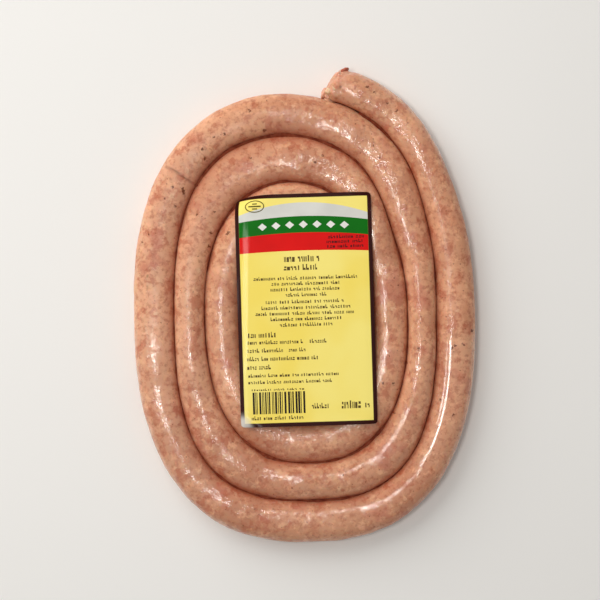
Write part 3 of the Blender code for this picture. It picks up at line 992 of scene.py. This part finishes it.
# The blocks of the small print, each as boxes of a mark's width and height: left, right,
# bottom and top shares.
BLOCKS = (
    ((0.0, 1.0, 0.0, 0.62),),
    ((0.0, 0.38, 0.0, 1.0), (0.38, 1.0, 0.0, 0.34)),
    ((0.0, 0.36, 0.0, 0.66), (0.64, 1.0, 0.0, 0.66)),
    ((0.0, 1.0, 0.0, 0.26), (0.2, 1.0, 0.42, 0.68)),
    ((0.25, 0.75, 0.0, 0.8),),
    ((0.0, 0.8, 0.4, 0.66), (0.5, 0.9, 0.0, 0.4)),
)


def print_rows(mesh, draw, rows, width, gap):
    """Rows of little blocks, in groups with a gap between them."""
    for left, right, y, height in rows:
        x = left
        left_in_group = draw.integers(*GROUP_MARKS)
        while x < right - width:
            mark = width * draw.uniform(*MARK_VARIES)
            for start, end, bottom, top in BLOCKS[draw.integers(0, len(BLOCKS))]:
                centre = x + mark * (start + end) / 2.0
                middle = y + height * ((bottom + top) / 2.0 - 0.5)
                bar(mesh, centre, middle, mark * (end - start), height * (top - bottom))
            x += mark + gap * draw.uniform(*GAP_VARIES)
            left_in_group -= 1
            if left_in_group == 0:
                x += width
                left_in_group = draw.integers(*GROUP_MARKS)


def make_small_print():
    """All the small print: brown on the yellow, and dark on the header's red band."""
    draw = np.random.default_rng(PRINT_SEED)
    for name, parts, ink in PRINT_PIECES:
        mesh = bmesh.new()
        for rows, width, gap in parts:
            print_rows(mesh, draw, rows, width, gap)
        thickened(mesh, INK)
        finished(name, mesh, printed_look(ink))


# The stamp: an empty oval line with three short bars in it, in millimetres.
STAMP_CENTRE = (-24.7, 53.6)
STAMP_HALF = (5.0, 3.2)
STAMP_LINE = 0.5
STAMP_BARS = ((0.0, 1.3, 2.4, 0.6), (0.0, 0.0, 6.4, 0.7), (0.0, -1.3, 2.6, 0.6))
STAMP_SEGMENTS = 48


def make_stamp():
    """A generic oval stamp at the label's top left."""
    mesh = bmesh.new()
    bmesh.ops.create_circle(mesh, segments=STAMP_SEGMENTS, radius=1.0)
    drawn = bmesh.ops.extrude_edge_only(mesh, edges=mesh.edges[:])["geom"]
    outer = {item for item in drawn if isinstance(item, bmesh.types.BMVert)}
    for corner in mesh.verts:
        grow = STAMP_LINE if corner in outer else 0.0
        x = STAMP_CENTRE[0] + corner.co.x * (STAMP_HALF[0] - STAMP_LINE + grow)
        y = STAMP_CENTRE[1] + corner.co.y * (STAMP_HALF[1] - STAMP_LINE + grow)
        corner.co = label_place(x * MM, y * MM, 2 * INK)
    for x, y, width, height in STAMP_BARS:
        bar(mesh, STAMP_CENTRE[0] + x, STAMP_CENTRE[1] + y, width, height)
    thickened(mesh, INK)
    finished("stamp", mesh, printed_look("olive"))


# The stripes: where they begin and end, how high their middle is, their height, and the widths and gaps
# that they are drawn from, in millimetres.
STRIPES_FROM = -28.6
STRIPES_TO = -1.8
STRIPES_MIDDLE = -47.2
STRIPES_HEIGHT = 11.2
STRIPE_WIDTHS = (0.35, 0.35, 0.7, 1.0)
STRIPE_GAPS = (0.35, 0.5, 0.9)
STRIPE_SEED = 3


def make_stripes():
    """Upright stripes of uneven width at the bottom left."""
    draw = np.random.default_rng(STRIPE_SEED)
    mesh = bmesh.new()
    x = STRIPES_FROM
    while x < STRIPES_TO:
        wide = draw.choice(STRIPE_WIDTHS)
        bar(mesh, x + wide / 2.0, STRIPES_MIDDLE, wide, STRIPES_HEIGHT)
        x += wide + draw.choice(STRIPE_GAPS)
    thickened(mesh, INK)
    finished("stripes", mesh, printed_look("black"))


# The strip of painted shade between the turns

# A dark red strip of painted shade fills the bottom of the valley between neighbouring turns. It runs
# along the outer edge of the inner one, from this many degrees after the outer end. It rises towards both
# its sides, and its lumps have a size and a height each.
SHADE_STRIP_FROM = 366.0
SHADE_STRIP_STEP = 0.5
SHADE_STRIP_HALF_WIDTH = 1.3 * MM
SHADE_STRIP_HEIGHT = 12.7 * MM
SHADE_STRIP_RISE = 0.3 * MM
SHADE_STRIP_DEPTH = 2.0 * MM
SHADE_STRIP_LUMPS = ((5.0 * MM, 0.4 * MM), (1.6 * MM, 0.2 * MM))
SHADE_STRIP_CELLS = 4
# Its dark reds are painted shade.
SHADE_STRIP_COLOURS = ((112, 42, 22), (138, 66, 42))
SHADE_STRIP_CLOUDS = (300.0, 3.0)
SHADE_STRIP_CHANGE = (0.35, 0.65)
SHADE_STRIP_FINISH = {
    "Roughness": 0.7,
    "Specular IOR Level": 0.1,
    "Subsurface Weight": 0.5,
    "Subsurface Radius": (1.0, 0.35, 0.2),
    "Subsurface Scale": 4.0 * MM,
}


def shade_strip_look():
    """Painted shade for the valleys: a dark red, a little cloudy."""
    made, tree, shader = new_look("painted valley shade", SHADE_STRIP_FINISH)
    cloudy = ramp(tree, noise_value(tree, object_place(tree), *SHADE_STRIP_CLOUDS), *SHADE_STRIP_CHANGE)
    colour = mixed(tree, cloudy, *(from_screen(*each) for each in SHADE_STRIP_COLOURS))
    tree.links.new(colour, shader.inputs["Base Color"])
    return made


def make_shade_strip():
    """A narrow dark strip of painted shade along the valleys, highest at its sides by the casing."""
    turned = np.arange(SHADE_STRIP_FROM, TAIL_TURNS_IN, SHADE_STRIP_STEP)
    edge = outer_edge(turned)
    onwards = np.gradient(edge, axis=0)
    onwards /= np.linalg.norm(onwards, axis=1)[:, None]
    last = len(turned) - 1
    mesh = bmesh.new()
    bmesh.ops.create_grid(mesh, x_segments=last, y_segments=SHADE_STRIP_CELLS, size=0.5)
    for corner in mesh.verts:
        ring = round((corner.co.x + 0.5) * last)
        across = corner.co.y * 2.0
        sideways = Vector((-onwards[ring][1], onwards[ring][0])) * across * SHADE_STRIP_HALF_WIDTH
        place = Vector((*(Vector(edge[ring]) + sideways), SHADE_STRIP_HEIGHT + SHADE_STRIP_RISE * across * across))
        place.z += sum(height * noise.noise(place / size) for size, height in SHADE_STRIP_LUMPS)
        corner.co = place
    thickened(mesh, SHADE_STRIP_DEPTH)
    finished("painted_valley_shade", mesh, shade_strip_look())


# The outer end

# Scraps of meat, fat and casing that hang out of the outer end: place in millimetres from the
# origin, size, turn in degrees, and which look.
SCRAPS = (
    ((10.4, 109.6, 7.6), (3.2, 6.4, 9.6), -12.0, "lean"),
    ((12.8, 108.4, 11.0), (4.4, 4.0, 6.0), 30.0, "lean"),
    ((13.2, 106.0, 6.6), (7.0, 3.6, 11.0), -14.0, "lean"),
    ((12.4, 110.2, 14.2), (3.8, 3.4, 3.8), 60.0, "fat"),
    ((15.4, 111.0, 17.2), (3.0, 1.6, 1.6), -50.0, "fat"),
    ((14.0, 113.4, 12.4), (3.2, 4.2, 4.4), -22.0, "pale"),
    ((17.0, 118.6, 12.6), (3.4, 4.6, 5.0), -40.0, "pale"),
    ((20.8, 121.4, 13.6), (4.6, 1.9, 3.0), 22.0, "dark"),
    ((20.2, 112.4, 17.6), (2.6, 2.2, 1.2), 0.0, "lean"),
)
SCRAP_COLOURS = {
    "lean": (226, 172, 146),
    "fat": (238, 200, 162),
    "pale": (228, 168, 142),
    "dark": (176, 98, 76),
}
SCRAP_DARKER = (0.86, 0.74, 0.66)
SCRAP_CLOUDS = (600.0, 3.0)
SCRAP_CHANGE = (0.35, 0.7)
SCRAP_FINISH = {
    "Roughness": 0.45,
    "Specular IOR Level": 0.3,
    "Coat Weight": 0.3,
    "Coat Roughness": 0.12,
    "Subsurface Weight": 0.4,
    "Subsurface Radius": (1.0, 0.4, 0.25),
    "Subsurface Scale": 2.0 * MM,
}

# The lumps on a scrap: how many go to its width, their height as a share of it, and how far apart one
# scrap and the next read their noise.
SCRAP_LUMPS = ((2.4, 0.3, (3.1, 0.0, 0.0)), (6.0, 0.06, (0.0, 2.3, 0.0)))
SCRAP_SUBDIVISIONS = 4


def scrap_look(kind):
    """Raw meat or fat in the open."""
    made, tree, shader = new_look(f"{kind} scrap of raw meat", SCRAP_FINISH)
    colour = from_screen(*SCRAP_COLOURS[kind])
    darker = tuple(share * less for share, less in zip(colour, SCRAP_DARKER)) + (1.0,)
    lumpy = ramp(tree, noise_value(tree, object_place(tree), *SCRAP_CLOUDS), *SCRAP_CHANGE)
    tree.links.new(mixed(tree, lumpy, colour, darker), shader.inputs["Base Color"])
    return made


def make_scraps():
    """Lumpy scraps of mixed meat at the outer end, one mesh for each look."""
    for kind in SCRAP_COLOURS:
        mesh = bmesh.new()
        for number, (centre, size, turn, look) in enumerate(SCRAPS):
            if look != kind:
                continue
            made = bmesh.ops.create_icosphere(mesh, subdivisions=SCRAP_SUBDIVISIONS, radius=0.5)["verts"]
            for corner in made:
                swell = 0.0
                for often, share, apart in SCRAP_LUMPS:
                    shift = Vector([step * number for step in apart])
                    swell += noise.noise(corner.co * often + shift) * share
                corner.co *= 1.0 + swell
            matrix = (
                Matrix.Translation(Vector(centre) * MM - Vector((*COIL_CENTRE, 0.0)))
                @ Matrix.Rotation(math.radians(turn), 4, "Z")
                @ Matrix.Diagonal((*(Vector(size) * MM), 1.0))
            )
            bmesh.ops.transform(mesh, matrix=matrix, verts=made)
        finished(f"{kind}_scraps", mesh, scrap_look(kind))


# The stage

# The floor reaches this many metres to each side. Soft light comes from all round it, and the camera
# shows nothing nearer than this.
FLOOR_REACH = 2.0
FLOOR_FINISH = {"Base Color": from_screen(245, 243, 240), "Roughness": 0.9}
SURROUNDINGS_COLOUR = (1.0, 0.985, 0.96, 1.0)
SURROUNDINGS_STRENGTH = 0.32
NEAREST_SEEN = 0.01

# The colours of the light, as shares of red, green and blue.
DAYLIGHT = (1.0, 0.99, 0.97)
LAMPLIGHT = (1.0, 0.985, 0.95)

# Each light: its place in metres, its size, its power in watts, its colour, and whether it lights the
# flesh and is mirrored by what is wet. All face the coil.
LIGHTS = (
    ("window light", (-0.84, 0.92, 0.80), (1.4, 1.4), 18.2, DAYLIGHT, True, False),
    ("lamp light", (-0.16, 0.02, 0.80), (0.13, 0.13), 1.5, LAMPLIGHT, True, True),
    ("first tube light", (-0.395, -0.01, 0.80), (0.05, 0.12), 0.21, DAYLIGHT, False, True),
    ("second tube light", (-0.47, -0.01, 0.80), (0.05, 0.12), 0.21, DAYLIGHT, False, True),
    ("strip light", (-0.15, -0.06, 0.80), (0.035, 0.11), 0.25, DAYLIGHT, False, True),
    ("low strip light", (-0.11, -0.15, 0.80), (0.11, 0.07), 0.40, DAYLIGHT, False, True),
    ("corner light", (0.02, 0.20, 0.80), (0.10, 0.10), 0.6, DAYLIGHT, False, True),
)


def make_floor():
    """A plain pale floor."""
    mesh = bmesh.new()
    bmesh.ops.create_grid(mesh, x_segments=1, y_segments=1, size=FLOOR_REACH)
    data = bpy.data.meshes.new("floor")
    mesh.to_mesh(data)
    mesh.free()
    data.materials.append(new_look("plain pale floor", FLOOR_FINISH)[0])
    floor = bpy.data.objects.new("floor", data)
    bpy.context.scene.collection.objects.link(floor)


def make_lights():
    """Soft, even surroundings, and the lights."""
    world = bpy.data.worlds.new("soft surroundings")
    world.use_nodes = True
    background = world.node_tree.nodes["Background"]
    background.inputs["Color"].default_value = SURROUNDINGS_COLOUR
    background.inputs["Strength"].default_value = SURROUNDINGS_STRENGTH
    bpy.context.scene.world = world
    for name, place, size, power, colour, lit, mirrored in LIGHTS:
        lamp = bpy.data.lights.new(name, "AREA")
        lamp.shape = "RECTANGLE"
        lamp.size, lamp.size_y = size
        lamp.energy = power
        lamp.color = colour
        light = bpy.data.objects.new(name, lamp)
        light.location = place
        light.visible_diffuse = lit
        light.visible_glossy = mirrored
        light.rotation_euler = (-Vector(place)).to_track_quat("-Z", "Y").to_euler()
        bpy.context.scene.collection.objects.link(light)


def make_camera():
    """The camera, which looks straight down."""
    lens = bpy.data.cameras.new("camera")
    lens.sensor_width = SENSOR
    lens.lens = SENSOR * CAMERA_DISTANCE / VIEW_WIDTH
    lens.clip_start = NEAREST_SEEN
    camera = bpy.data.objects.new("camera", lens)
    camera.location = (*VIEW_CENTRE, VIEW_HEIGHT + CAMERA_DISTANCE)
    bpy.context.scene.collection.objects.link(camera)
    bpy.context.scene.camera = camera
    bpy.context.scene.view_settings.view_transform = "Standard"


casing = finished("sausage_skin", skin_mesh(), casing_look())
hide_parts("sausage")
make_shade_strip()
make_scraps()
make_card()
make_header()
make_stamp()
make_small_print()
make_stripes()
make_floor()
make_lights()
make_camera()
bpy.context.view_layer.update()
